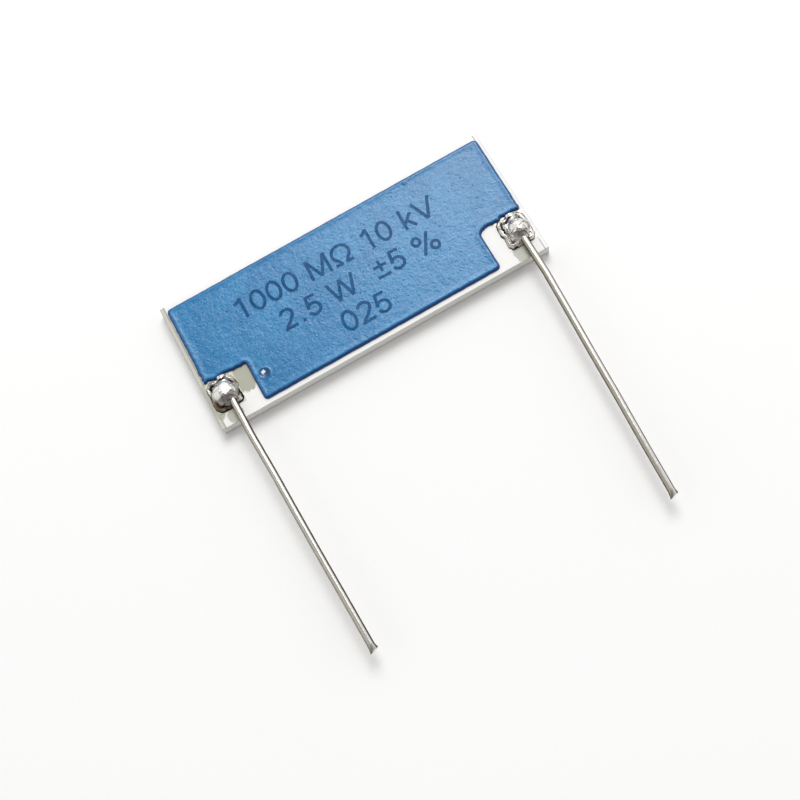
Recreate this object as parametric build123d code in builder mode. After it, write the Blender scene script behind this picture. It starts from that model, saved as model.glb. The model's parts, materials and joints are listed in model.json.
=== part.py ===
from build123d import *
from math import cos, radians, sin
import os

# High-voltage thick-film resistor, in millimetres, +Z up, lying on its back.
# The origin is the centre of the ceramic plate's back face. X runs along the plate,
# and both leads leave over its long edge towards -Y.

os.makedirs("parts", exist_ok=True)

# Ceramic plate
plate_length = 25.0
plate_width = 10.0
plate_thickness = 1.0
plate_edge_break = 0.06

# Printed films: the metal pads and the resistor track are equally thick
film_thickness = 0.02

# Metal pads at the two lower corners. Solder wets the bare part, and a neck runs on
# under the coat to meet the track.
pad_end_margin = 0.28
pad_edge_margin = 1.05
pad_width = 2.1
pad_bare_length = 2.35
pad_neck_width = 1.4
pad_neck_length = 1.2

# Protective coat, with a notch at each lower corner that leaves the pad bare
coat_thickness = 0.2
coat_margin_left = 0.38
coat_margin_right = 0.24
coat_margin_top = 0.4
coat_margin_bottom = 0.34
coat_pad_clearance = 1.1
coat_corner_radius = 0.3
coat_edge_radius = 0.14

# Resistor track: a meander of upright legs, an even number of them, so that both end
# legs hang from the top and turn outwards to the pads
track_width = 0.4
track_legs = 20
track_coat_margin = 0.55

# Leads: round wire, laid straight over the pads and bent a little towards each other
# just past the plate. The reach is measured from the plate's edge to the cut end.
lead_diameter = 0.5
lead_anchor = 0.3
lead_straight = 1.2
lead_bend_radius = 8.0
lead_cut_angle = 18.0
lead_reach = {"left": 17.7, "right": 18.6}
lead_shift = {"left": 0.27, "right": 0.16}
lead_lean = {"left": 1.6, "right": -2.8}

# Solder joints: a low skirt over the pad, and a dome over the lead's end
solder_under_lead = 0.05
solder_corner_radius = 0.5
solder_skirt_height = 0.3
solder_skirt_radius = 0.24
solder_dome_radius = 0.86
solder_dome_height = 0.9

sides = {"left": -1, "right": 1}

# Heights above the table
plate_top = plate_thickness
film_top = plate_top + film_thickness
lead_height = film_top + solder_under_lead + lead_diameter / 2

# Places shared by the pads, the coat, the track and the solder
pad_x = plate_length / 2 - pad_end_margin - pad_width / 2
pad_bottom = -plate_width / 2 + pad_edge_margin
pad_bare_top = pad_bottom + pad_bare_length
pad_bare_y = pad_bottom + pad_bare_length / 2
neck_y = pad_bare_top + pad_neck_length / 2

coat_left = -plate_length / 2 + coat_margin_left
coat_right = plate_length / 2 - coat_margin_right
coat_top_edge = plate_width / 2 - coat_margin_top
coat_bottom_edge = -plate_width / 2 + coat_margin_bottom
notch_wall = pad_x - pad_width / 2 - coat_pad_clearance

# ---------------------------------------------------------------- ceramic plate

with BuildPart() as ceramic_substrate:
    with BuildSketch(Plane.XY):
        Rectangle(plate_length, plate_width)
    extrude(amount=plate_thickness)
    chamfer(ceramic_substrate.edges(), plate_edge_break)

ceramic_substrate.part.label = "ceramic_substrate"
export_step(ceramic_substrate.part, "parts/ceramic_substrate.step")

# ---------------------------------------------------------------- resistor track

leg_span = 2 * (notch_wall - track_coat_margin) - track_width
leg_pitch = leg_span / (track_legs - 1)
track_top = coat_top_edge - track_coat_margin
track_bottom = coat_bottom_edge + track_coat_margin
end_leg_bottom = neck_y - track_width / 2
feeder_length = pad_x - pad_neck_width / 2 - leg_span / 2

with BuildPart() as resistor_track:
    with BuildSketch(Plane.XY.offset(plate_top)):
        for leg in range(track_legs):
            is_end_leg = leg in (0, track_legs - 1)
            leg_bottom = end_leg_bottom if is_end_leg else track_bottom
            with Locations((leg * leg_pitch - leg_span / 2, leg_bottom)):
                Rectangle(track_width, track_top - leg_bottom, align=(Align.CENTER, Align.MIN))
        for link in range(track_legs - 1):
            link_bottom = track_bottom if link % 2 else track_top - track_width
            with Locations(((link + 0.5) * leg_pitch - leg_span / 2, link_bottom)):
                Rectangle(leg_pitch, track_width, align=(Align.CENTER, Align.MIN))
        for sign in sides.values():
            with Locations((sign * (leg_span + feeder_length) / 2, neck_y)):
                Rectangle(feeder_length, track_width)
    extrude(amount=film_thickness)

resistor_track.part.label = "resistor_track"
export_step(resistor_track.part, "parts/resistor_track.step")

# ---------------------------------------------------------------- metal pads

pads = []

for side, sign in sides.items():
    with BuildPart() as termination:
        with BuildSketch(Plane.XY.offset(plate_top)):
            with Locations((sign * pad_x, pad_bare_y)):
                Rectangle(pad_width, pad_bare_length)
            with Locations((sign * pad_x, neck_y)):
                Rectangle(pad_neck_width, pad_neck_length)
        extrude(amount=film_thickness)
    termination.part.label = f"termination_{side}"
    export_step(termination.part, f"parts/termination_{side}.step")
    pads.append(termination.part)

# ---------------------------------------------------------------- protective coat

with BuildPart() as protective_coating:
    with BuildSketch(Plane.XY.offset(plate_top)) as coat_outline:
        with Locations((coat_left, coat_bottom_edge)):
            Rectangle(coat_right - coat_left, coat_top_edge - coat_bottom_edge, align=Align.MIN)
        notch_height = pad_bare_top - coat_bottom_edge
        with Locations((coat_left, coat_bottom_edge)):
            Rectangle(-notch_wall - coat_left, notch_height, align=Align.MIN, mode=Mode.SUBTRACT)
        with Locations((notch_wall, coat_bottom_edge)):
            Rectangle(coat_right - notch_wall, notch_height, align=Align.MIN, mode=Mode.SUBTRACT)
        fillet(coat_outline.vertices(), coat_corner_radius)
    extrude(amount=coat_thickness)
    fillet(protective_coating.faces().sort_by(Axis.Z)[-1].edges(), coat_edge_radius)
    add([resistor_track.part, *pads], mode=Mode.SUBTRACT)

protective_coating.part.label = "protective_coating"
export_step(protective_coating.part, "parts/protective_coating.step")

# ---------------------------------------------------------------- leads and solder

for side, sign in sides.items():
    lean = lead_lean[side]
    free_run = Vector(sin(radians(lean)), -cos(radians(lean)))
    lead_start = (sign * pad_x + lead_shift[side], pad_bare_y + lead_anchor, lead_height)
    straight_length = lead_start[1] + plate_width / 2 + lead_straight
    cut_y = -plate_width / 2 - lead_reach[side]

    with BuildPart() as lead:
        with BuildLine(Plane(lead_start)) as lead_path:
            straight = Line((0, 0), (0, -straight_length))
            bend = JernArc(straight @ 1, straight % 1, lead_bend_radius, lean)
            free_length = ((bend @ 1).Y - cut_y) / cos(radians(lean))
            free_end = bend @ 1 + free_run * free_length
            Line(bend @ 1, bend @ 1 + free_run * (free_length + lead_diameter))
        with BuildSketch(Plane(lead_start, x_dir=(1, 0, 0), z_dir=(0, -1, 0))):
            Circle(lead_diameter / 2)
        sweep()
        cut_plane = Plane(free_end, z_dir=free_run.rotate(Axis.Z, lead_cut_angle))
        split(bisect_by=cut_plane, keep=Keep.BOTTOM)
    lead.part.label = f"lead_{side}"
    export_step(lead.part, f"parts/lead_{side}.step")

    dome_foot = (sign * pad_x, pad_bare_y, film_top)
    with BuildPart() as solder_joint:
        with BuildSketch(Plane.XY.offset(film_top)):
            with Locations((sign * pad_x, pad_bare_y)):
                RectangleRounded(pad_width, pad_bare_length, solder_corner_radius)
        extrude(amount=solder_skirt_height)
        fillet(solder_joint.faces().sort_by(Axis.Z)[-1].edges(), solder_skirt_radius)
        with BuildSketch(Plane(origin=dome_foot, x_dir=(1, 0, 0), z_dir=(0, -1, 0))):
            with BuildLine():
                EllipticalCenterArc((0, 0), solder_dome_radius, solder_dome_height, arc_size=90)
                Polyline((0, solder_dome_height), (0, 0), (solder_dome_radius, 0))
            make_face()
        revolve(axis=Axis(dome_foot, (0, 0, 1)))
        add(lead.part, mode=Mode.SUBTRACT)
    solder_joint.part.label = f"solder_joint_{side}"
    export_step(solder_joint.part, f"parts/solder_joint_{side}.step")
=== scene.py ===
import json
from math import cos, exp, pi, radians, sin, sqrt, tan

import bmesh
import bpy
from mathutils import Matrix, Vector, noise
from mathutils.geometry import delaunay_2d_cdt
from mathutils.kdtree import KDTree


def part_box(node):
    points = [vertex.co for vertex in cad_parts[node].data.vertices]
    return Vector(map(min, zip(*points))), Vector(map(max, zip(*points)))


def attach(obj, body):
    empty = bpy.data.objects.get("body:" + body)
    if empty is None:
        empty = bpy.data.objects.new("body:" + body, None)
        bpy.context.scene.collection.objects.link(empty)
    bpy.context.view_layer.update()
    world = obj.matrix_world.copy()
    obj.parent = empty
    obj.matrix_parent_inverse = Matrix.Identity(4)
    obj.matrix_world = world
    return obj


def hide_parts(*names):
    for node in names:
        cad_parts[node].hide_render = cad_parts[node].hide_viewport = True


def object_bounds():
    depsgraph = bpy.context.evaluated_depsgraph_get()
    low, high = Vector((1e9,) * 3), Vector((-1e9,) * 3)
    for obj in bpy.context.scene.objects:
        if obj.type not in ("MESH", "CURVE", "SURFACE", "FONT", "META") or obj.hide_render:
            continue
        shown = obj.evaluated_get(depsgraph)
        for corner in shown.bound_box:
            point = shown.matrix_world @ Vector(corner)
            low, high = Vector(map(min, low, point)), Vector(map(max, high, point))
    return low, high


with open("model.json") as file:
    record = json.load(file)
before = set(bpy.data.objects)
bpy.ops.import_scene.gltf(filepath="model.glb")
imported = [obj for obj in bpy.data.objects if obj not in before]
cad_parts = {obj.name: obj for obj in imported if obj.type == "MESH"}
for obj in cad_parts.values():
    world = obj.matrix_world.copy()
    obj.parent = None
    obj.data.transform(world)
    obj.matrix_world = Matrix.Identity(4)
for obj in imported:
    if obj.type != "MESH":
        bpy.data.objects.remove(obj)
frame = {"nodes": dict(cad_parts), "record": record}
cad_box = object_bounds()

# A flat high-voltage resistor. Shapes are worked out in millimetres in the frame's own axes,
# and turned into metres when a mesh is made.
MM = 0.001


def node_box(name):
    """Lowest and highest corner of a frame node, in millimetres."""
    low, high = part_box(name)
    return low / MM, high / MM


PLATE_LOW, PLATE_HIGH = node_box("ceramic_substrate")
COAT_LOW, COAT_HIGH = node_box("protective_coating")
JOINT_BOXES = {side: node_box(f"solder_joint_{side}") for side in ("left", "right")}
MOUNTS = {mount["name"]: mount for mount in frame["record"]["mounts"]}

PLATE_TOP = PLATE_HIGH.z
PAD_TOP = JOINT_BOXES["left"][0].z
LEAD_RADIUS = MOUNTS["lead_left"]["dims"]["r_mm"]

# The coat's notches leave each joint bare, with this much room beside it
NOTCH_CLEARANCE = 1.1
NOTCH_WALL_LEFT = JOINT_BOXES["left"][1].x + NOTCH_CLEARANCE
NOTCH_WALL_RIGHT = JOINT_BOXES["right"][0].x - NOTCH_CLEARANCE
LOBE_EDGE = JOINT_BOXES["left"][1].y


# ---------------------------------------------------------------- shader helpers

class Value:
    """A node's output, on which plain arithmetic adds Math nodes."""

    def __init__(self, paint, link):
        self.paint = paint
        self.link = link

    def math(self, operation, *values):
        sockets = dict(enumerate(values))
        return self.paint.node("ShaderNodeMath", {"operation": operation}, sockets)

    def __add__(self, other):
        return self.math("ADD", self, other)

    def __radd__(self, other):
        return self.math("ADD", other, self)

    def __sub__(self, other):
        return self.math("SUBTRACT", self, other)

    def __rsub__(self, other):
        return self.math("SUBTRACT", other, self)

    def __mul__(self, other):
        return self.math("MULTIPLY", self, other)

    def __rmul__(self, other):
        return self.math("MULTIPLY", other, self)

    def __truediv__(self, other):
        return self.math("DIVIDE", self, other)

    def __pow__(self, other):
        return self.math("POWER", self, other)

    def clamped(self):
        return self.math("MINIMUM", self.math("MAXIMUM", self, 0.0), 1.0)

    def larger(self, other):
        return self.math("MAXIMUM", self, other)


class Paint:
    """A material, or the world, whose nodes are added one by one."""

    def __init__(self, owner):
        self.owner = owner
        owner.use_nodes = True
        self.tree = owner.node_tree
        self.tree.nodes.clear()

    def node(self, kind, settings=None, sockets=None, output=0):
        """Adds a node: its settings first, then its sockets' values or links."""
        made = self.tree.nodes.new(kind)
        for name, setting in (settings or {}).items():
            if name == "stops":
                self.set_stops(made.color_ramp, setting)
            else:
                setattr(made, name, setting)
        for name, value in (sockets or {}).items():
            if isinstance(value, Value):
                self.tree.links.new(value.link, made.inputs[name])
            else:
                made.inputs[name].default_value = value
        return Value(self, made.outputs[output])

    def set_stops(self, ramp, stops):
        while len(ramp.elements) < len(stops):
            ramp.elements.new(1.0)
        for element, (position, color) in zip(ramp.elements, stops):
            element.position = position
            element.color = color

    def place(self):
        """Where a point is on the object, in millimetres."""
        coords = self.node("ShaderNodeTexCoord", output="Object")
        settings = {"operation": "SCALE"}
        return self.node("ShaderNodeVectorMath", settings, {0: coords, "Scale": 1 / MM})

    def axes(self, vector):
        """The three parts of a vector."""
        return [self.node("ShaderNodeSeparateXYZ", None, {0: vector}, axis) for axis in "XYZ"]

    def attribute(self, name):
        return self.node("ShaderNodeAttribute", {"attribute_name": name}, output="Fac")

    def stretched(self, vector, stretch):
        sockets = {"Vector": vector, "Scale": stretch}
        return self.node("ShaderNodeMapping", None, sockets)

    def noise(self, vector, scale, detail=2.0, roughness=0.5, distortion=0.0):
        sockets = {
            "Vector": vector, "Scale": scale, "Detail": detail,
            "Roughness": roughness, "Distortion": distortion,
        }
        return self.node("ShaderNodeTexNoise", None, sockets, output="Fac")

    def grains(self, vector, scale):
        """Distance to the nearest of many scattered points."""
        sockets = {"Vector": vector, "Scale": scale}
        return self.node("ShaderNodeTexVoronoi", None, sockets, output="Distance")

    def between(self, value, low, high):
        """0 below low, 1 above high and a soft step between them; low may be the larger."""
        settings = {"interpolation_type": "SMOOTHSTEP"}
        backwards = low > high
        sockets = {
            "Value": value, "From Min": min(low, high), "From Max": max(low, high),
            "To Min": float(backwards), "To Max": float(not backwards),
        }
        return self.node("ShaderNodeMapRange", settings, sockets)

    def mix(self, factor, first, second):
        """Two colours mixed; factor 0 is the first."""
        sockets = {"Factor": factor, 6: as_color(first), 7: as_color(second)}
        return self.node("ShaderNodeMix", {"data_type": "RGBA"}, sockets, output=2)

    def bump(self, height, distance, under=None):
        """A normal raised by height, with distance in millimetres."""
        sockets = {"Height": height, "Distance": distance * MM}
        if under is not None:
            sockets["Normal"] = under
        return self.node("ShaderNodeBump", None, sockets)

    def finish(self, **sockets):
        """Ends the material in a Principled BSDF."""
        named = {name.replace("_", " "): value for name, value in sockets.items()}
        if not isinstance(named["Base Color"], Value):
            named["Base Color"] = as_color(named["Base Color"])
        surface = self.node("ShaderNodeBsdfPrincipled", None, named)
        self.node_output("ShaderNodeOutputMaterial", surface)
        return self.owner

    def node_output(self, kind, surface):
        end = self.tree.nodes.new(kind)
        self.tree.links.new(surface.link, end.inputs["Surface"])


def as_color(color):
    """Three numbers as an RGBA colour; a socket stays as it is."""
    return color if isinstance(color, Value) else (*color, 1.0)


def new_paint(name):
    return Paint(bpy.data.materials.new(name))


# ---------------------------------------------------------------- materials

def fired_ceramic():
    """White alumina: faintly mottled, matt, with beige painted shade round the joints and along its
    left end.
    """
    paint = new_paint("fired_ceramic")
    place = paint.place()
    x, y, z = paint.axes(place)
    mottle = paint.noise(place, 1.3, detail=4.0)
    grain = paint.noise(place, 14.0, detail=3.0)
    clean = paint.mix(mottle, (0.93, 0.93, 0.915), (0.9, 0.9, 0.88))

    def shade_patch(centre_x, centre_y, reach_x, reach_y):
        """Soft-edged painted shade round a point of the plate's face."""
        across = (x - centre_x) / reach_x
        along = (y - centre_y) / reach_y
        far = (across * across + along * along) ** 0.5
        ragged = far + paint.noise(place, 2.6, detail=5.0) * 0.9 - 0.45
        return paint.between(ragged, 1.0, 0.82)

    left_low, left_high = JOINT_BOXES["left"]
    right_low, _ = JOINT_BOXES["right"]
    # Beige painted shade beside and under the left joint, outside it, and below the right joint,
    # where solder and leads shade the plate
    beside = shade_patch(left_high.x + 0.55, left_high.y - 0.85, 0.75, 1.3)
    under = shade_patch(left_high.x - 1.1, left_low.y - 0.5, 0.6, 0.7)
    outside = shade_patch(left_low.x, left_low.y + 1.0, 0.55, 1.7)
    below = shade_patch(right_low.x + 0.75, right_low.y - 0.45, 0.75, 0.75)
    # A band of painted shade along the left end of the face
    left_end_shade = paint.between(x, PLATE_LOW.x + 0.42, PLATE_LOW.x + 0.3) * 0.7
    face = paint.between(z, PLATE_TOP - 0.08, PLATE_TOP - 0.02)
    # All the beige painted shade together, kept to the top face; it also lowers the roughness there
    film = (beside + under * 0.8 + outside * 0.9 + below * 0.85).clamped().larger(left_end_shade) * face
    color = paint.mix(film * 0.95, clean, (0.405, 0.405, 0.315))

    # A faint broken grey line runs along each end, 0.3 mm in, and the outermost rim of each end is
    # painted darker as painted shade of the edge
    from_end = paint.node("ShaderNodeMath", {"operation": "ABSOLUTE"}, {0: x})
    beside_line = from_end - (PLATE_HIGH.x - 0.3)
    off_line = paint.node("ShaderNodeMath", {"operation": "ABSOLUTE"}, {0: beside_line})
    broken = paint.between(paint.noise(place, 3.5, detail=3.0), 0.3, 0.45)
    outline = paint.between(from_end, PLATE_HIGH.x - 0.09, PLATE_HIGH.x - 0.03)
    line = (paint.between(off_line, 0.055, 0.02) * broken).larger(outline * 0.7)
    color = paint.mix(line * face * 0.75, color, (0.3, 0.29, 0.25))

    # The snapped side faces are painted greyer than the fired face, as painted shade of the sides,
    # and darkest along the laser-scribed band
    edge = paint.attribute("edge")
    color = paint.mix(edge * (0.55 + grain * 0.5), color, (0.5, 0.48, 0.45))
    rough = 0.5 + edge * 0.3 + mottle * 0.1 - film * 0.15
    height = grain + edge * paint.noise(place, 9.0, detail=4.0) * 3.0
    return paint.finish(Base_Color=color, Roughness=rough, Normal=paint.bump(height, 0.006))


def coat_surface(paint, place):
    """Roughness and normal of the orange-peeled coat, shared by the ink printed on it."""
    peel = paint.noise(place, 1.9, detail=2.0)
    fine = paint.noise(place, 6.0, detail=4.0, roughness=0.62)
    pits = paint.between(paint.grains(place, 1.9), 0.17, 0.05)
    height = peel * 1.6 + fine * 1.2 - pits * 0.8
    rough = 0.14 + fine * 0.1 + peel * 0.04
    return rough, paint.bump(height, 0.018), fine, pits


def blue_coat():
    """Semi-gloss blue resin with painted shade along its rounded rim, light and dark flecks of
    painted highlight and shade on its peel, and pits painted darker as shade.
    """
    paint = new_paint("blue_coat")
    place = paint.place()
    x, y, _ = paint.axes(place)
    rough, normal, fine, pits = coat_surface(paint, place)
    cloud = paint.noise(place, 0.4, detail=3.0)
    color = paint.mix(paint.between(cloud, 0.3, 0.7), (0.006, 0.163, 0.385), (0.016, 0.21, 0.455))
    # Light flecks on the peel's raised spots are painted highlights; dark flecks in its low spots
    # and the darker pits are painted shade
    color = paint.mix(paint.between(fine, 0.55, 0.66) * 0.5, color, (0.06, 0.34, 0.61))
    color = paint.mix(paint.between(fine, 0.45, 0.34) * 0.75, color, (0.004, 0.095, 0.29))
    color = paint.mix(pits * 0.45, color, (0.004, 0.08, 0.27))
    # Painted shade along the coat's rounded rim, darkest at its edge
    rim = paint.attribute("rim")
    color = paint.mix((rim * 1.7).clamped(), color, (0.001, 0.032, 0.165))
    # Painted shade in the crater and round its glint, with the dark crack, a dark fleck and the
    # bubble's darkened middle
    speck = paint.attribute("speck")
    color = paint.mix(speck, color, (0.002, 0.02, 0.11))

    # A ragged bluish-white painted highlight glints in the crater
    across = (x - GLINT_CENTRE.x) / GLINT_SIZE
    along = (y - GLINT_CENTRE.y) / GLINT_SIZE
    far = (across * across + along * along) ** 0.5
    ragged = far + paint.noise(place, 9.0, detail=2.0) * 3.6 - 1.8
    painted_glint = paint.between(ragged, 1.0, 0.75)
    color = paint.mix(painted_glint, color, (0.88, 0.93, 0.97))
    rough = rough + rim * 0.2
    return paint.finish(Base_Color=color, Roughness=rough, Normal=normal)


def marking_ink():
    """Dark translucent ink that lets some of the coat's blue through."""
    paint = new_paint("marking_ink")
    place = paint.place()
    rough, normal, fine, _ = coat_surface(paint, place)
    worn = paint.noise(place, 3.2, detail=4.0, roughness=0.65)
    color = paint.mix(paint.between(worn, 0.35, 0.75), (0.001, 0.062, 0.18), (0.003, 0.095, 0.26))
    # Lighter flecks on the peel's raised spots are painted highlights
    color = paint.mix(paint.between(fine, 0.6, 0.75) * 0.3, color, (0.02, 0.16, 0.38))
    sockets = {"Specular_IOR_Level": 0.15}
    return paint.finish(Base_Color=color, Roughness=rough + 0.04, Normal=normal, **sockets)


def bright_solder():
    """Bright solder: its drop's front is rougher and painted darker as painted shade, its creases
    are painted near-black as painted shade, and brown on its skirt is painted reflection together
    with soldering residue.
    """
    paint = new_paint("bright_solder")
    place = paint.place()
    wrinkle = paint.noise(place, 3.4, detail=3.0, distortion=0.6)
    crystal = paint.noise(place, 16.0, detail=2.0)
    flux = paint.attribute("flux")
    crease = paint.attribute("crease")
    dull = paint.attribute("dull")
    metal = paint.mix(wrinkle, (0.9, 0.885, 0.85), (0.66, 0.645, 0.6))
    # The drop's front is painted darker as painted shade, and is rougher
    color = paint.mix(dull * 0.85, metal, (0.29, 0.255, 0.235))
    # Brown is painted reflection together with soldering residue
    color = paint.mix(flux, color, (0.13, 0.085, 0.04))
    # Creases are painted near-black as painted shade
    color = paint.mix(crease, color, (0.012, 0.01, 0.007))
    rough = 0.13 + wrinkle * 0.12 + flux * 0.2 + dull * 0.2 + crease * 0.4
    height = wrinkle + crystal * 0.1
    normal = paint.bump(height, 0.05)
    metallic = 1.0 - flux * 0.75 * (1.0 - crease)
    return paint.finish(Base_Color=color, Metallic=metallic, Roughness=rough, Normal=normal)


def tinned_wire():
    """Drawn copper wire with a bright tin skin and fine lines along it; olive and near-black
    stripes down its sides are painted dark reflection, and its underside is painted shade.
    """
    paint = new_paint("tinned_wire")
    place = paint.place()
    lines = paint.noise(paint.stretched(place, (9.0, 0.35, 9.0)), 1.0, detail=3.0)
    spots = paint.noise(place, 3.0, detail=3.0)
    tarnish = paint.attribute("tarnish")
    bright = paint.mix(lines, (0.8, 0.785, 0.75), (0.66, 0.645, 0.6))
    # Olive and near-black stripes of painted dark reflection down the sides, and painted shade
    # underneath
    olive = paint.between(tarnish, 0.0, 0.45) * (0.7 + spots * 0.6)
    dark = paint.between(tarnish, 0.5, 0.95) * (0.55 + spots * 0.8)
    color = paint.mix(olive.clamped(), bright, (0.36, 0.325, 0.25))
    color = paint.mix(dark.clamped(), color, (0.035, 0.03, 0.02))
    rough = 0.2 + lines * 0.12 + tarnish * 0.2
    normal = paint.bump(lines + spots * 0.4, 0.005)
    return paint.finish(Base_Color=color, Metallic=1.0, Roughness=rough, Normal=normal)


def pad_metal():
    """Fired silver-palladium film: pale, fine-grained and slightly warm."""
    paint = new_paint("pad_metal")
    place = paint.place()
    grain = paint.noise(place, 11.0, detail=3.0)
    color = paint.mix(grain, (0.62, 0.6, 0.54), (0.44, 0.42, 0.36))
    rough = 0.38 + grain * 0.2
    normal = paint.bump(grain, 0.008)
    return paint.finish(Base_Color=color, Metallic=1.0, Roughness=rough, Normal=normal)


def resistor_film():
    """Black glassy thick film of the hidden track."""
    paint = new_paint("resistor_film")
    place = paint.place()
    grain = paint.noise(place, 8.0, detail=3.0)
    color = paint.mix(grain, (0.02, 0.02, 0.02), (0.05, 0.048, 0.045))
    return paint.finish(Base_Color=color, Roughness=0.3 + grain * 0.2)


def studio_floor():
    """Pale matt table top."""
    paint = new_paint("studio_floor")
    place = paint.place()
    tone = paint.noise(place, 0.02)
    color = paint.mix(tone, (0.965, 0.965, 0.965), (0.96, 0.96, 0.96))
    return paint.finish(Base_Color=color, Roughness=0.9)


# ---------------------------------------------------------------- mesh helpers

def add_piece(name, mesh, material, record_slot, *replaced):
    """Puts a finished mesh in the scene, on the root body, standing for its frame nodes."""
    piece = bpy.data.objects.new(name, mesh)
    bpy.context.scene.collection.objects.link(piece)
    mesh.materials.clear()
    mesh.materials.append(material)
    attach(piece, "root")
    if replaced:
        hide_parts(*replaced)
    return piece


def make_mesh(name, points, faces, attributes=None, smooth=True):
    """A mesh from points in millimetres, its faces turned outwards."""
    mesh = bpy.data.meshes.new(name)
    mesh.from_pydata([Vector(point) * MM for point in points], [], faces)
    for label, values in (attributes or {}).items():
        layer = mesh.attributes.new(label, "FLOAT", "POINT")
        layer.data.foreach_set("value", values)
    work = bmesh.new()
    work.from_mesh(mesh)
    bmesh.ops.recalc_face_normals(work, faces=work.faces)
    work.to_mesh(mesh)
    work.free()
    mesh.polygons.foreach_set("use_smooth", [smooth] * len(mesh.polygons))
    mesh.update()
    return mesh


def clamped(value):
    """The value, kept between 0 and 1."""
    return max(0.0, min(1.0, value))


def turn(vector, angle):
    """A flat vector turned by an angle."""
    return Vector((vector.x * cos(angle) - vector.y * sin(angle),
                   vector.x * sin(angle) + vector.y * cos(angle)))


def rounded_outline(corners, spacing):
    """Evenly spaced points along a closed outline of (x, y, corner radius), run round
    counter-clockwise, where every corner is an arc."""
    path = []
    count = len(corners)
    for index, (x, y, radius) in enumerate(corners):
        corner = Vector((x, y))
        back = (Vector(corners[index - 1][:2]) - corner).normalized()
        ahead = (Vector(corners[(index + 1) % count][:2]) - corner).normalized()
        half = back.angle(ahead) / 2
        start = corner + back * radius / tan(half)
        end = corner + ahead * radius / tan(half)
        centre = corner + (back + ahead).normalized() * radius / sin(half)
        sweep = (start - centre).angle_signed(end - centre)
        steps = max(2, round(abs(sweep) * radius / spacing))
        path += [centre + turn(start - centre, -sweep * step / steps) for step in range(steps + 1)]
    return evenly_spaced(path, spacing)


def evenly_spaced(path, spacing):
    """The same closed path with its points the given distance apart."""
    lengths = [(path[(i + 1) % len(path)] - point).length for i, point in enumerate(path)]
    count = round(sum(lengths) / spacing)
    step = sum(lengths) / count
    points = []
    travelled = 0.0
    for index, length in enumerate(lengths):
        while len(points) < count and len(points) * step < travelled + length:
            share = (len(points) * step - travelled) / length
            points.append(path[index].lerp(path[(index + 1) % len(path)], share))
        travelled += length
    return points


def outward_normals(outline):
    """The outward normal at each point of a counter-clockwise outline."""
    count = len(outline)
    normals = []
    for index in range(count):
        run = outline[(index + 2) % count] - outline[index - 2]
        normals.append(Vector((run.y, -run.x)).normalized())
    return normals


def roughened(outline, amount, scale, seed):
    """An outline moved in and out by noise; amount gives the size at a point."""
    moved = []
    for point, normal in zip(outline, outward_normals(outline)):
        place = Vector((point.x * scale, point.y * scale, seed))
        shift = noise.noise(place) + 0.5 * noise.noise(place * 2.3)
        moved.append(point + normal * shift * amount(point))
    return moved


def filled_patch(outline, spots, height_at):
    """A closed skin over a flat outline. height_at takes a point and its distance from the
    outline. Returns the points, the faces and each point's distance from the outline."""
    edge_finder = KDTree(len(outline))
    for index, point in enumerate(outline):
        edge_finder.insert((point.x, point.y, 0.0), index)
    edge_finder.balance()
    count = len(outline)
    border = [(index, (index + 1) % count) for index in range(count)]
    flat, _, triangles, *_ = delaunay_2d_cdt(outline + spots, border, [], 1, 1e-6)
    used = sorted({index for face in triangles for index in face})
    renamed = {old: new for new, old in enumerate(used)}
    faces = [[renamed[index] for index in face] for face in triangles]
    points, gaps = [], []
    for old in used:
        point = flat[old]
        gap = 0.0 if old < count else edge_finder.find((point.x, point.y, 0.0))[2]
        points.append((point.x, point.y, height_at(point, gap)))
        gaps.append(gap)
    under = [renamed[index] for index in range(count)]
    faces.append(under[::-1])
    return points, faces, gaps


def inner_rings(outline, distances):
    """Copies of an outline set inwards by each distance."""
    normals = outward_normals(outline)
    return [point - normal * distance for distance in distances
            for point, normal in zip(outline, normals)]


def grid_spots(low, high, spacing, keep):
    """Points of a grid between two corners, where keep says so."""
    columns = int((high[0] - low[0]) / spacing)
    rows = int((high[1] - low[1]) / spacing)
    spots = [Vector((low[0] + (column + 0.5) * spacing, low[1] + (row + 0.5) * spacing))
             for column in range(columns) for row in range(rows)]
    return [spot for spot in spots if keep(spot)]


def distance_keeper(outline, least):
    """A test for points at least so far from an outline."""
    finder = KDTree(len(outline))
    for index, point in enumerate(outline):
        finder.insert((point.x, point.y, 0.0), index)
    finder.balance()
    return lambda spot: finder.find((spot.x, spot.y, 0.0))[2] > least


# ---------------------------------------------------------------- ceramic plate

EDGE_SPACING = 0.06
SCRIBE_PITCH = 0.17
SCRIBE_DEPTH = 0.035
SCRIBE_SHARE = 0.3


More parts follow.
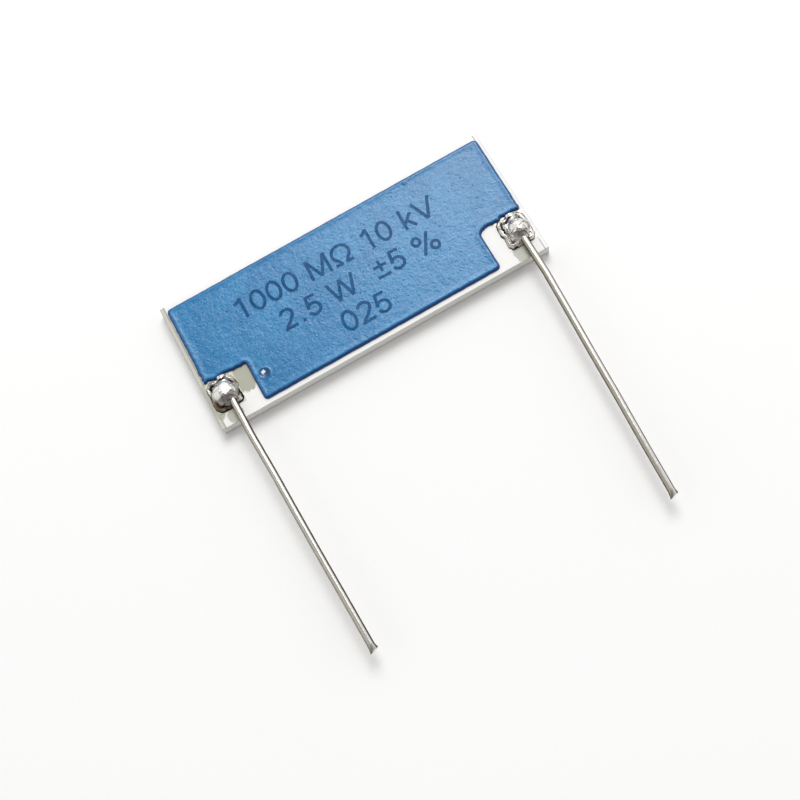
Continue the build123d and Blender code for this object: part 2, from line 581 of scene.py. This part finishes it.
def ceramic_plate():
    """Plate with snapped edges: laser-scribed pits along the back, rough break above them."""
    spacing = EDGE_SPACING
    half_x = (PLATE_HIGH.x - PLATE_LOW.x) / 2
    half_y = (PLATE_HIGH.y - PLATE_LOW.y) / 2
    corners = [(half_x, -half_y, 0.03), (half_x, half_y, 0.03),
               (-half_x, half_y, 0.03), (-half_x, -half_y, 0.03)]
    outline = rounded_outline(corners, spacing)
    normals = outward_normals(outline)
    thickness = PLATE_TOP - PLATE_LOW.z
    # Shares of the thickness at which the edge has a row of points
    levels = [0.0, 0.03, 0.1, 0.17, 0.24, 0.3, 0.33, 0.42, 0.54, 0.66, 0.78, 0.88, 0.95, 0.985, 1.0]
    points, greyness = [], []
    for level in levels:
        for index, (point, normal) in enumerate(zip(outline, normals)):
            along = index * spacing
            rough = noise.noise(Vector((point.x * 2.1, point.y * 2.1, level * 1.4)))
            rough += 0.6 * noise.noise(Vector((point.x * 6.0, point.y * 6.0, level * 3.0)))
            inset = 0.014 + 0.012 * rough
            if level < SCRIBE_SHARE:
                pit = abs(cos(pi * along / SCRIBE_PITCH))
                inset += SCRIBE_DEPTH * pit * (1 - level / SCRIBE_SHARE) ** 0.5
            rounding = 0.03 * max(0.0, (level - 0.95) / 0.05) ** 2
            rounding += 0.02 * max(0.0, 1 - level / 0.03)
            placed = point - normal * max(inset + rounding, 0.0)
            points.append((placed.x, placed.y, PLATE_LOW.z + level * thickness))
            # Side faces are marked grey: painted shade of the sides, and darker along the
            # laser-scribed band
            side = 0.0 if level in (0.0, 1.0) else 1.0
            greyness.append(side * (1.0 if level < SCRIBE_SHARE else 0.55))
    count = len(outline)
    faces = []
    for row in range(len(levels) - 1):
        for index in range(count):
            ahead = (index + 1) % count
            faces.append((row * count + index, row * count + ahead,
                          (row + 1) * count + ahead, (row + 1) * count + index))
    last = (len(levels) - 1) * count
    faces.append(list(range(count))[::-1])
    faces.append(list(range(last, last + count)))
    mesh = make_mesh("ceramic_plate", points, faces, {"edge": greyness}, smooth=False)
    add_piece("ceramic_plate", mesh, fired_ceramic(), "alumina", "ceramic_substrate")


# ---------------------------------------------------------------- protective coat

COAT_RIM_WIDTH = 0.15
COAT_SPACING = 0.15
# The mesh is finer round a flaw, out to this distance
FLAW_REACH = 1.1
FLAW_SPACING = 0.035
CRATER = Vector((-8.2, -2.98))
CRATER_RADIUS = 0.4
# Middle and size of the painted highlight in the crater
GLINT_CENTRE = Vector((-8.25, -2.84))
GLINT_SIZE = 0.13
CRACK = (Vector((-9.0, -1.94)), Vector((-8.42, -2.26)))
BUBBLE = Vector((6.45, 4.22))
SPECK = Vector((-8.36, 2.3))


def coat_outline():
    """Outline of the coat, ragged where it runs down to the joints."""
    corners = [
        (NOTCH_WALL_LEFT, COAT_LOW.y, 0.3),
        (NOTCH_WALL_RIGHT, COAT_LOW.y, 0.3),
        (NOTCH_WALL_RIGHT, LOBE_EDGE - 0.06, 0.42),
        (COAT_HIGH.x, LOBE_EDGE + 0.1, 0.2),
        (COAT_HIGH.x, COAT_HIGH.y, 0.34),
        (COAT_LOW.x, COAT_HIGH.y, 0.3),
        (COAT_LOW.x, LOBE_EDGE + 0.08, 0.12),
        (NOTCH_WALL_LEFT, LOBE_EDGE - 0.03, 0.12),
    ]

    def raggedness(point):
        beside_joint = point.x < NOTCH_WALL_LEFT - 0.3 or point.x > NOTCH_WALL_RIGHT + 0.5
        low = clamped((LOBE_EDGE + 1.6 - point.y) / 1.2)
        return 0.016 + (0.085 * low if beside_joint else 0.0)

    return roughened(rounded_outline(corners, 0.06), raggedness, 2.4, 3.7)


def bowl(point, centre, radius):
    """1 at the middle of a bowl, falling smoothly to 0 at its rim."""
    far = (point - centre).length / radius
    return (1 - far * far) ** 2 if far < 1 else 0.0


def coat_height(point, gap):
    """Height of the coat's face: a rounded rim with a slight bead, and its flaws."""
    thickness = COAT_HIGH.z - PLATE_TOP
    share = min(gap / COAT_RIM_WIDTH, 1.0)
    height = (thickness - 0.012) * sqrt(1 - (1 - share) ** 2)
    height += 0.024 * exp(-((gap - 0.24) / 0.11) ** 2) * share
    rim_of_crater = exp(-(((point - CRATER).length - CRATER_RADIUS) / 0.07) ** 2)
    height += 0.02 * rim_of_crater - 0.075 * bowl(point, CRATER, CRATER_RADIUS)
    height += 0.02 * exp(-(((point - GLINT_CENTRE).length - 0.2) / 0.06) ** 2)
    height += 0.05 * bowl(point, BUBBLE, 0.2) - 0.04 * bowl(point, BUBBLE, 0.08)
    return PLATE_TOP + max(height, 0.0)


def coat_shade(point):
    """How dark the coat is painted at its flaws: painted shade in the crater, darkest on its far
    side, a ring of painted shade round the glint, a crack from the notch to the crater, a dark
    fleck, and the bubble's darkened middle."""
    off = point - CRATER
    crescent = clamped(0.35 + off.dot(Vector((0.75, -0.66))) / 0.35)
    inside = clamped((CRATER_RADIUS + 0.05 - off.length) / 0.08)
    ring = exp(-(((point - GLINT_CENTRE).length - 0.22) / 0.06) ** 2)
    start, end = CRACK
    share = clamped((point - start).dot(end - start) / (end - start).length_squared)
    wander = 0.03 * noise.noise(Vector((point.x * 5, point.y * 5, 0)))
    crack = exp(-(((point - start.lerp(end, share)).length + wander) / 0.035) ** 2)
    specks = max(bowl(point, SPECK, 0.13), 0.7 * bowl(point, BUBBLE, 0.12))
    return max(inside * (0.25 + 0.5 * crescent), ring * 0.85, crack, specks)


def protective_coat():
    """Printed skin of blue resin."""
    outline = coat_outline()
    rings = inner_rings(outline, (0.02, 0.045, 0.075, 0.11, 0.15, 0.2, 0.26, 0.33))
    away = distance_keeper(outline, 0.012)
    spots = [spot for spot in rings if away(spot)]
    field = distance_keeper(outline, 0.38)
    flaws = (CRATER, BUBBLE, SPECK)

    def plain(spot):
        return field(spot) and all((spot - flaw).length > FLAW_REACH for flaw in flaws)

    spots += grid_spots(COAT_LOW, COAT_HIGH, COAT_SPACING, plain)
    for flaw in flaws:
        reach = Vector((FLAW_REACH, FLAW_REACH))
        spots += grid_spots(flaw - reach, flaw + reach, FLAW_SPACING,
                            lambda spot: (spot - flaw).length < FLAW_REACH and field(spot))
    points, faces, gaps = filled_patch(outline, spots, coat_height)
    flat = [Vector(point[:2]) for point in points]
    rim = [exp(-(gap / 0.12) ** 2) for gap in gaps]
    shade = [coat_shade(point) for point in flat]
    values = {"rim": rim, "speck": shade}
    mesh = make_mesh("protective_coat", points, faces, values)
    add_piece("protective_coat", mesh, blue_coat(), "blue_coat", "protective_coating")


# ---------------------------------------------------------------- marking

INK_THICKNESS = 0.004
STROKE = 0.225
FIRST_SIDE_BEARING = 0.1
MARKING_TURN = radians(-0.6)
# Each line: text, left end, baseline at its left end, and height of a capital
MARKING_LINES = [
    ("1000 MΩ 10 kV", -7.95, 1.18, 1.6),
    ("2.5 W  ±5 %", -5.5, -1.15, 1.6),
    ("025", -2.0, -3.45, 1.6),
]


def arc(x, y, across, along, start, end):
    """Points of an elliptical arc, its angles in degrees."""
    steps = max(6, round(abs(end - start) / 9))
    angles = [radians(start + (end - start) * step / steps) for step in range(steps + 1)]
    return [(x + across * cos(angle), y + along * sin(angle)) for angle in angles]


# Plain lettering drawn as pen strokes, in shares of a capital's height. Each sign has its
# advance and the middle lines of its strokes.
NIB = 0.072
SIGNS = {
    " ": (0.39, []),
    ".": (0.39, [[(0.19, 0.0), (0.19, 2 * NIB)]]),
    "0": (0.777, [arc(0.385, 0.5, 0.275, 0.5 - NIB, 0, 360)]),
    "1": (0.777, [[(0.47, 0), (0.47, 1.0)], [(0.45, 0.96), (0.36, 0.86), (0.17, 0.76)]]),
    "2": (0.777, [arc(0.38, 0.7, 0.26, 0.3 - NIB, 168, -32)
                  + [(0.42, 0.35), (0.2, 0.17), (0.13, NIB), (0.66, NIB)]]),
    "5": (0.777, [[(0.62, 1 - NIB), (0.22, 1 - NIB), (0.15, 0.47)]
                  + arc(0.375, 0.335, 0.275, 0.335 - NIB, 138, -160)]),
    "M": (1.163, [[(0.15, 0), (0.15, 1)], [(0.17, 0.97), (0.58, 0.03)],
                  [(0.58, 0.03), (0.99, 0.97)], [(1.01, 1), (1.01, 0)]]),
    "V": (0.931, [[(0.06, 1), (0.465, 0.02)], [(0.465, 0.02), (0.87, 1)]]),
    "W": (1.318, [[(0.07, 1), (0.36, 0.02)], [(0.36, 0.02), (0.66, 0.97)],
                  [(0.66, 0.97), (0.96, 0.02)], [(0.96, 0.02), (1.25, 1)]]),
    "k": (0.7, [[(0.13, 0), (0.13, 1)], [(0.58, 0.7), (0.15, 0.26)], [(0.29, 0.41), (0.6, 0)]]),
    "Ω": (1.044, [[(0.1, NIB), (0.38, NIB), (0.36, 0.13)]
                  + arc(0.52, 0.56, 0.39, 0.44 - NIB, 233, -53)
                  + [(0.68, 0.13), (0.66, NIB), (0.94, NIB)]]),
    "%": (1.241, [arc(0.28, 0.75, 0.17, 0.25 - NIB, 0, 360),
                  arc(0.96, 0.25, 0.17, 0.25 - NIB, 0, 360),
                  [(0.88, 1), (0.36, 0)]]),
    "±": (0.767, [[(0.08, 0.6), (0.69, 0.6)], [(0.385, 0.88), (0.385, 0.32)],
                  [(0.08, 0.1), (0.69, 0.1)]]),
}


def pen_stroke(path, width):
    """A rectangle for each straight step of a path, long enough to fill the bends."""
    line = [Vector(point) for point in path]
    runs = [(end - start).normalized() for start, end in zip(line, line[1:])]
    closed = (line[0] - line[-1]).length < 1e-6

    def overlap(index):
        if not closed and index in (0, len(runs)):
            return 0.0
        bend = runs[index - 1].angle(runs[index % len(runs)])
        return tan(min(bend, pi / 2) / 2) * width / 2

    rectangles = []
    for index, run in enumerate(runs):
        across = Vector((-run.y, run.x)) * width / 2
        start = line[index] - run * overlap(index)
        end = line[index + 1] + run * overlap(index + 1)
        rectangles.append((start + across, start - across, end - across, end + across))
    return rectangles


def inked_film(corners, quads, low, high):
    """Flat overlapping quads as one closed film between two heights."""
    flat, _, triangles, _, _, origins = delaunay_2d_cdt(corners, [], quads, 1, 1e-5)
    inked = [tuple(face) for face, origin in zip(triangles, origins) if origin]
    count = len(flat)
    points = [(point.x, point.y, height) for height in (high, low) for point in flat]
    faces = inked + [tuple(corner + count for corner in face[::-1]) for face in inked]
    sides = {(face[step - 1], face[step]) for face in inked for step in range(3)}
    faces += [(end, start, start + count, end + count)
              for start, end in sides if (end, start) not in sides]
    used = sorted({corner for face in faces for corner in face})
    renamed = {old: new for new, old in enumerate(used)}
    return [points[old] for old in used], [[renamed[corner] for corner in face] for face in faces]


def printed_marking():
    """Three printed lines of plain ratings, a thin film of ink on the coat."""
    ink = marking_ink()
    base = COAT_HIGH.z - 0.013
    turned = Matrix.Rotation(MARKING_TURN, 2)
    for number, (text, left, baseline, capital) in enumerate(MARKING_LINES, 1):
        corners, quads = [], []
        pen = -FIRST_SIDE_BEARING
        for sign in text:
            advance, strokes = SIGNS[sign]
            for stroke in strokes:
                path = [((pen + x) * capital, y * capital) for x, y in stroke]
                for rectangle in pen_stroke(path, STROKE):
                    first = len(corners)
                    corners += [turned @ corner + Vector((left, baseline)) for corner in rectangle]
                    quads.append(tuple(range(first, first + 4)))
            pen += advance
        points, faces = inked_film(corners, quads, base, base + INK_THICKNESS)
        mesh = make_mesh(f"marking_line_{number}", points, faces, smooth=False)
        add_piece(f"marking_line_{number}", mesh, ink, "blue_coat")


# ---------------------------------------------------------------- solder joints

FOLD_PITCH = 0.36
SOLDER_SPACING = 0.03
SOLDER_MARGIN = 0.2


def smooth_larger(first, second, softness):
    """The larger of two heights, with a soft fold between them."""
    blend = max(softness - abs(first - second), 0.0) / softness
    return max(first, second) + blend * blend * softness / 4


def solder_joint(side, lead_x, dome, dome_size, brown_share, seed):
    """Solder on its pad: a low skirt folded round a drop over the lead's end, and a fillet
    that climbs the lead. dome is the drop's middle and dome_size its half widths and height.
    The share after dome_size says how much of the skirt is painted brown: painted reflection
    together with soldering residue."""
    low, high = JOINT_BOXES[side]
    corners = [(high.x, low.y, 0.4), (high.x, high.y, 0.6),
               (low.x, high.y, 0.6), (low.x, low.y, 0.4)]
    outline = roughened(rounded_outline(corners, 0.045), lambda point: 0.1, 1.9, seed)
    wide, long, tall = dome_size

    def from_dome(point):
        return sqrt(((point.x - dome.x) / wide) ** 2 + ((point.y - dome.y) / long) ** 2)

    def folded(point, gap):
        """Folds that run round the drop, 1 on a fold and -1 in a crease, fading on the drop."""
        place = Vector((point.x, point.y, seed + 7))
        wander = 0.13 * noise.noise(place * 2.1) + 0.04 * noise.noise(place * 5.0)
        outside = clamped((from_dome(point) - 0.72) / 0.25)
        return cos(2 * pi * (gap + wander) / FOLD_PITCH) * -1, outside

    def height_at(point, gap):
        place = Vector((point.x, point.y, seed))
        lumps = noise.noise(place * 1.9)
        crumbs = noise.noise(place * 8.0)
        fold, outside = folded(point, gap)
        skirt = 0.42 * (1 - exp(-gap / 0.28)) * (1 + 0.3 * lumps)
        skirt += 0.085 * fold * outside + 0.02 * crumbs
        far = from_dome(point)
        wrinkled = 1 + 0.07 * lumps + 0.03 * noise.noise(place * 3.7)
        drop = tall * max(0.0, 1 - far ** 2.2) ** 0.5 * wrinkled + 0.012 * crumbs
        off_lead = abs(point.x - lead_x) / (LEAD_RADIUS * 1.6)
        on_lead = max(0.0, 1 - off_lead * off_lead)
        past_dome = clamped((point.y - low.y + 0.05) / (dome.y - low.y))
        fillet = (0.56 * past_dome ** 0.7) * on_lead ** 0.5
        height = smooth_larger(skirt, fillet, 0.12)
        height = smooth_larger(height, drop, 0.16)
        return PAD_TOP + max(height, 0.0) * min(1.0, gap / 0.05)

    rings = inner_rings(outline, (0.015, 0.035, 0.06))
    away = distance_keeper(outline, 0.008)
    inside = distance_keeper(outline, 0.075)
    spots = [spot for spot in rings if away(spot)]
    margin = SOLDER_MARGIN
    spots += grid_spots((low.x - margin, low.y - margin), (high.x + margin, high.y + margin),
                        SOLDER_SPACING, inside)
    points, faces, gaps = filled_patch(outline, spots, height_at)
    flux, creases, dull_and_shaded = [], [], []
    for (x, y, z), gap in zip(points, gaps):
        point = Vector((x, y))
        place = Vector((x, y, seed + 5))
        fold, outside = folded(point, gap)
        far = from_dome(point)
        # Brown on the skirt, heavier towards the lower left: painted reflection together with
        # soldering residue
        lower_left = clamped(0.5 + (low.x + low.y + 1.5 - x - y) * 0.9)
        patchy = 0.7 * noise.noise(place * 1.9) - 0.05 + 0.5 * lower_left
        flux.append(brown_share * clamped(outside * patchy * 2.4))
        # Near-black painted shade in the folds, along lines over the drop, round its foot, round
        # the lead's entry (heavier on its right) and at the outline
        unbroken = clamped(0.75 + 1.8 * noise.noise(place * 1.6 + Vector((3, 0, 0))))
        in_fold = clamped((-fold - 0.3) / 0.2) * outside * unbroken
        line = exp(-(noise.noise(place * 2.5 + Vector((0, 9, 0))) / 0.07) ** 2)
        on_drop = line * clamped((far - 0.3) / 0.2) * (1 - outside) * 0.85
        at_foot = exp(-((far - 1.0) / 0.045) ** 2) * unbroken
        entry = Vector((lead_x, dome.y - 0.86 * long))
        collar = exp(-(((point - entry).length - 0.36) / 0.045) ** 2)
        collar *= 0.75 if x > lead_x else 0.3
        creases.append(max(in_fold, on_drop, at_foot, collar, max(0.0, 1 - gap / 0.05)))
        # The drop's front is made rougher and painted darker: painted shade
        downwards = (dome.y - y) / long + 0.35 * noise.noise(place * 2.4)
        dull_and_shaded.append(clamped((downwards - 0.2) / 0.12) * (1 - outside))
    values = {"flux": flux, "crease": creases, "dull": dull_and_shaded}
    return make_mesh(f"solder_{side}", points, faces, values)


# Where each drop stands from its pad's middle, its half widths and height, how much of its skirt is
# painted brown as painted reflection together with soldering residue, and the number that picks its
# random shape
JOINT_SHAPES = {
    "left": ((0.02, -0.12), (0.94, 0.94, 0.86), 1.0, 1.3),
    "right": ((0.17, -0.14), (0.74, 0.92, 0.88), 0.3, 8.1),
}


def solder_joints():
    """Both joints; the right drop is narrower and stands nearer the plate's edge."""
    solder = bright_solder()
    for side in ("left", "right"):
        lead_x = MOUNTS[f"lead_{side}"]["pos_m"][0] / MM
        low, high = JOINT_BOXES[side]
        middle = (low + high) / 2
        shift, dome_size, brown_share, seed = JOINT_SHAPES[side]
        dome = Vector((middle.x, middle.y)) + Vector(shift)
        mesh = solder_joint(side, lead_x, dome, dome_size, brown_share, seed)
        add_piece(f"solder_{side}", mesh, solder, "solder", f"solder_joint_{side}")


# ---------------------------------------------------------------- leads

def lead_path(side, spacing=0.1):
    """Middle line of a lead, from inside its joint over the bend to the cut end, with the
    slight waviness of handled wire."""
    mount = MOUNTS[f"lead_{side}"]
    bend = Vector(mount["pos_m"]) / MM
    run = Vector(mount["axis"])
    low, high = JOINT_BOXES[side]
    root = Vector((bend.x, (low.y + high.y) / 2 + 0.28, bend.z))
    length = mount["dims"]["length_mm"]
    total = (root - bend).length + length
    count = round(total / spacing)
    path = []
    for step in range(count + 1):
        travelled = total * step / count - (root - bend).length
        point = bend + Vector((0, -1, 0)) * travelled if travelled < 0 else bend + run * travelled
        sway = noise.noise(Vector((travelled * 0.16, 3.0 * len(side), 0))) * 0.05
        lift = noise.noise(Vector((travelled * 0.2, 9.0, len(side)))) * 0.03
        free = clamped((travelled + 1.0) / 4.0)
        path.append(point + Vector((sway * free, 0, lift * free)))
    return path


POINTS_AROUND = 28
CUT_SLANT = {"left": -0.32, "right": -0.3}
PINCH_LENGTH = 0.42
PINCH_WIDENS = 0.28
PINCH_FLATTENS = 0.45
# Where the stripes of painted dark reflection start, as a share of the radius to each side, and
# where the olive one on the left begins
LINE_START_LEFT = 0.74
LINE_START_RIGHT = 0.58
OLIVE_START = 0.3


def lead(side, material):
    """A round wire whose cut end is pinched flat and flared by the cutters."""
    path = lead_path(side)
    points, tarnish = [], []
    around = POINTS_AROUND
    cut_slant = CUT_SLANT[side]
    for index, centre in enumerate(path):
        ahead = path[min(index + 1, len(path) - 1)]
        behind = path[max(index - 1, 0)]
        run = (ahead - behind).normalized()
        across = run.cross(Vector((0, 0, 1))).normalized() * -1
        up = across.cross(run)
        if up.z < 0:
            up = up * -1
        from_end = (path[-1] - centre).length
        pinch = max(0.0, 1 - from_end / PINCH_LENGTH) ** 1.6
        for step in range(around):
            angle = 2 * pi * step / around
            spot = Vector((centre.y * 1.7, cos(angle) * 1.3, sin(angle) * 1.3 + len(side)))
            ripple = noise.noise(spot)
            radius = LEAD_RADIUS * (1 + 0.02 * ripple)
            wide = radius * cos(angle) * (1 + PINCH_WIDENS * pinch)
            tall = radius * sin(angle) * (1 - PINCH_FLATTENS * pinch) - 0.04 * pinch
            slant = wide * cut_slant * min(1.0, pinch * 2)
            points.append(centre + across * wide + up * tall + run * slant)
            # Stripes of painted dark reflection down each side, olive on the left, and painted
            # shade underneath
            leftwards = -cos(angle) if across.x > 0 else cos(angle)
            line_start = LINE_START_LEFT if leftwards > 0 else LINE_START_RIGHT
            side_line = clamped((abs(leftwards) - line_start) / 0.12)
            olive_side = 0.45 * clamped((leftwards - OLIVE_START) / 0.2)
            tarnish.append(max(side_line, olive_side) if sin(angle) > -0.2 else 0.35)
    faces = []
    for row in range(len(path) - 1):
        for step in range(around):
            ahead = (step + 1) % around
            faces.append((row * around + step, row * around + ahead,
                          (row + 1) * around + ahead, (row + 1) * around + step))
    faces.append(list(range(around)))
    last = (len(path) - 1) * around
    faces.append(list(range(last, last + around))[::-1])
    mesh = make_mesh(f"wire_{side}", points, faces, {"tarnish": tarnish})
    for polygon in mesh.polygons:
        polygon.use_smooth = len(polygon.vertices) == 4
    add_piece(f"wire_{side}", mesh, material, "tinned_wire", f"lead_{side}")


# ---------------------------------------------------------------- studio

CAMERA_AZIMUTH = radians(-96.38)
CAMERA_ELEVATION = radians(71.8)
CAMERA_TWIST = radians(61.31)
CAMERA_DISTANCE = 85.16
CAMERA_AIM = Vector((-1.29, 0.11, 0.04))
CAMERA_LENS = 58.5


def camera():
    """Camera above the plate, turned so that the plate rises to the right."""
    middle = (cad_box[0] + cad_box[1]) / 2 / MM
    outwards = Vector((cos(CAMERA_ELEVATION) * cos(CAMERA_AZIMUTH),
                       cos(CAMERA_ELEVATION) * sin(CAMERA_AZIMUTH), sin(CAMERA_ELEVATION)))
    hint = Vector((cos(CAMERA_TWIST), sin(CAMERA_TWIST), 0))
    upwards = (hint - outwards * hint.dot(outwards)).normalized()
    sideways = upwards.cross(outwards)
    data = bpy.data.cameras.new("camera")
    data.lens = CAMERA_LENS
    data.sensor_width = 36.0
    data.clip_start = 0.001
    eye = bpy.data.objects.new("camera", data)
    bpy.context.scene.collection.objects.link(eye)
    turned = Matrix((sideways, upwards, outwards)).transposed().to_4x4()
    spot = (middle + CAMERA_AIM + outwards * CAMERA_DISTANCE) * MM
    eye.matrix_world = Matrix.Translation(spot) @ turned
    bpy.context.scene.camera = eye


def softbox(name, direction, distance, width, radiance):
    """A square lamp that faces the object; radiance 1 is as bright as a white wall."""
    data = bpy.data.lights.new(name, "AREA")
    data.shape = "SQUARE"
    data.size = width * MM
    data.energy = radiance * pi * data.size ** 2
    lamp = bpy.data.objects.new(name, data)
    bpy.context.scene.collection.objects.link(lamp)
    aim = Vector(direction).normalized()
    turned = aim.to_track_quat("Z", "Y").to_matrix().to_4x4()
    lamp.matrix_world = Matrix.Translation(aim * distance * MM) @ turned


def room():
    """Soft pale room: walls brighter than the ceiling, and a dim side at the front."""
    paint = Paint(bpy.data.worlds.new("room"))
    bpy.context.scene.world = paint.owner
    direction = paint.node("ShaderNodeTexCoord", output="Generated")
    height = paint.axes(direction)[2]
    walls = paint.between(height, 0.9, 0.6)
    color = paint.mix(walls, (0.4, 0.4, 0.4), (1.04, 1.04, 1.04))
    sockets = {0: direction, 1: Vector((-0.3, -0.94, 0.2)).normalized()}
    facing = paint.node("ShaderNodeVectorMath", {"operation": "DOT_PRODUCT"}, sockets, "Value")
    color = paint.mix(paint.between(facing, 0.15, 0.85) * 0.85, color, (0.2, 0.19, 0.17))
    background = paint.node("ShaderNodeBackground", None, {"Color": color, "Strength": 1.0})
    paint.node_output("ShaderNodeOutputWorld", background)


def floor():
    """Flat pale table that the plate lies on."""
    reach = 900.0
    points = [(-reach, -reach, 0), (reach, -reach, 0), (reach, reach, 0), (-reach, reach, 0)]
    mesh = bpy.data.meshes.new("table_top")
    mesh.from_pydata([Vector(point) * MM for point in points], [], [(0, 1, 2, 3)])
    mesh.materials.append(studio_floor())
    table = bpy.data.objects.new("table_top", mesh)
    bpy.context.scene.collection.objects.link(table)


# ---------------------------------------------------------------- everything together

def paint_node(name, material):
    """Gives a frame node that stays as it is its own finish."""
    shape = frame["nodes"][name].data
    shape.materials.clear()
    shape.materials.append(material)


camera()
room()
softbox("key_softbox", (0.28, 0.51, 0.81), 400.0, 215.0, 6.4)
floor()
ceramic_plate()
protective_coat()
printed_marking()
solder_joints()
wire_finish = tinned_wire()
for side in ("left", "right"):
    lead(side, wire_finish)
pad_finish = pad_metal()
paint_node("termination_left", pad_finish)
paint_node("termination_right", pad_finish)
paint_node("resistor_track", resistor_film())

bpy.context.scene.view_settings.view_transform = "Standard"
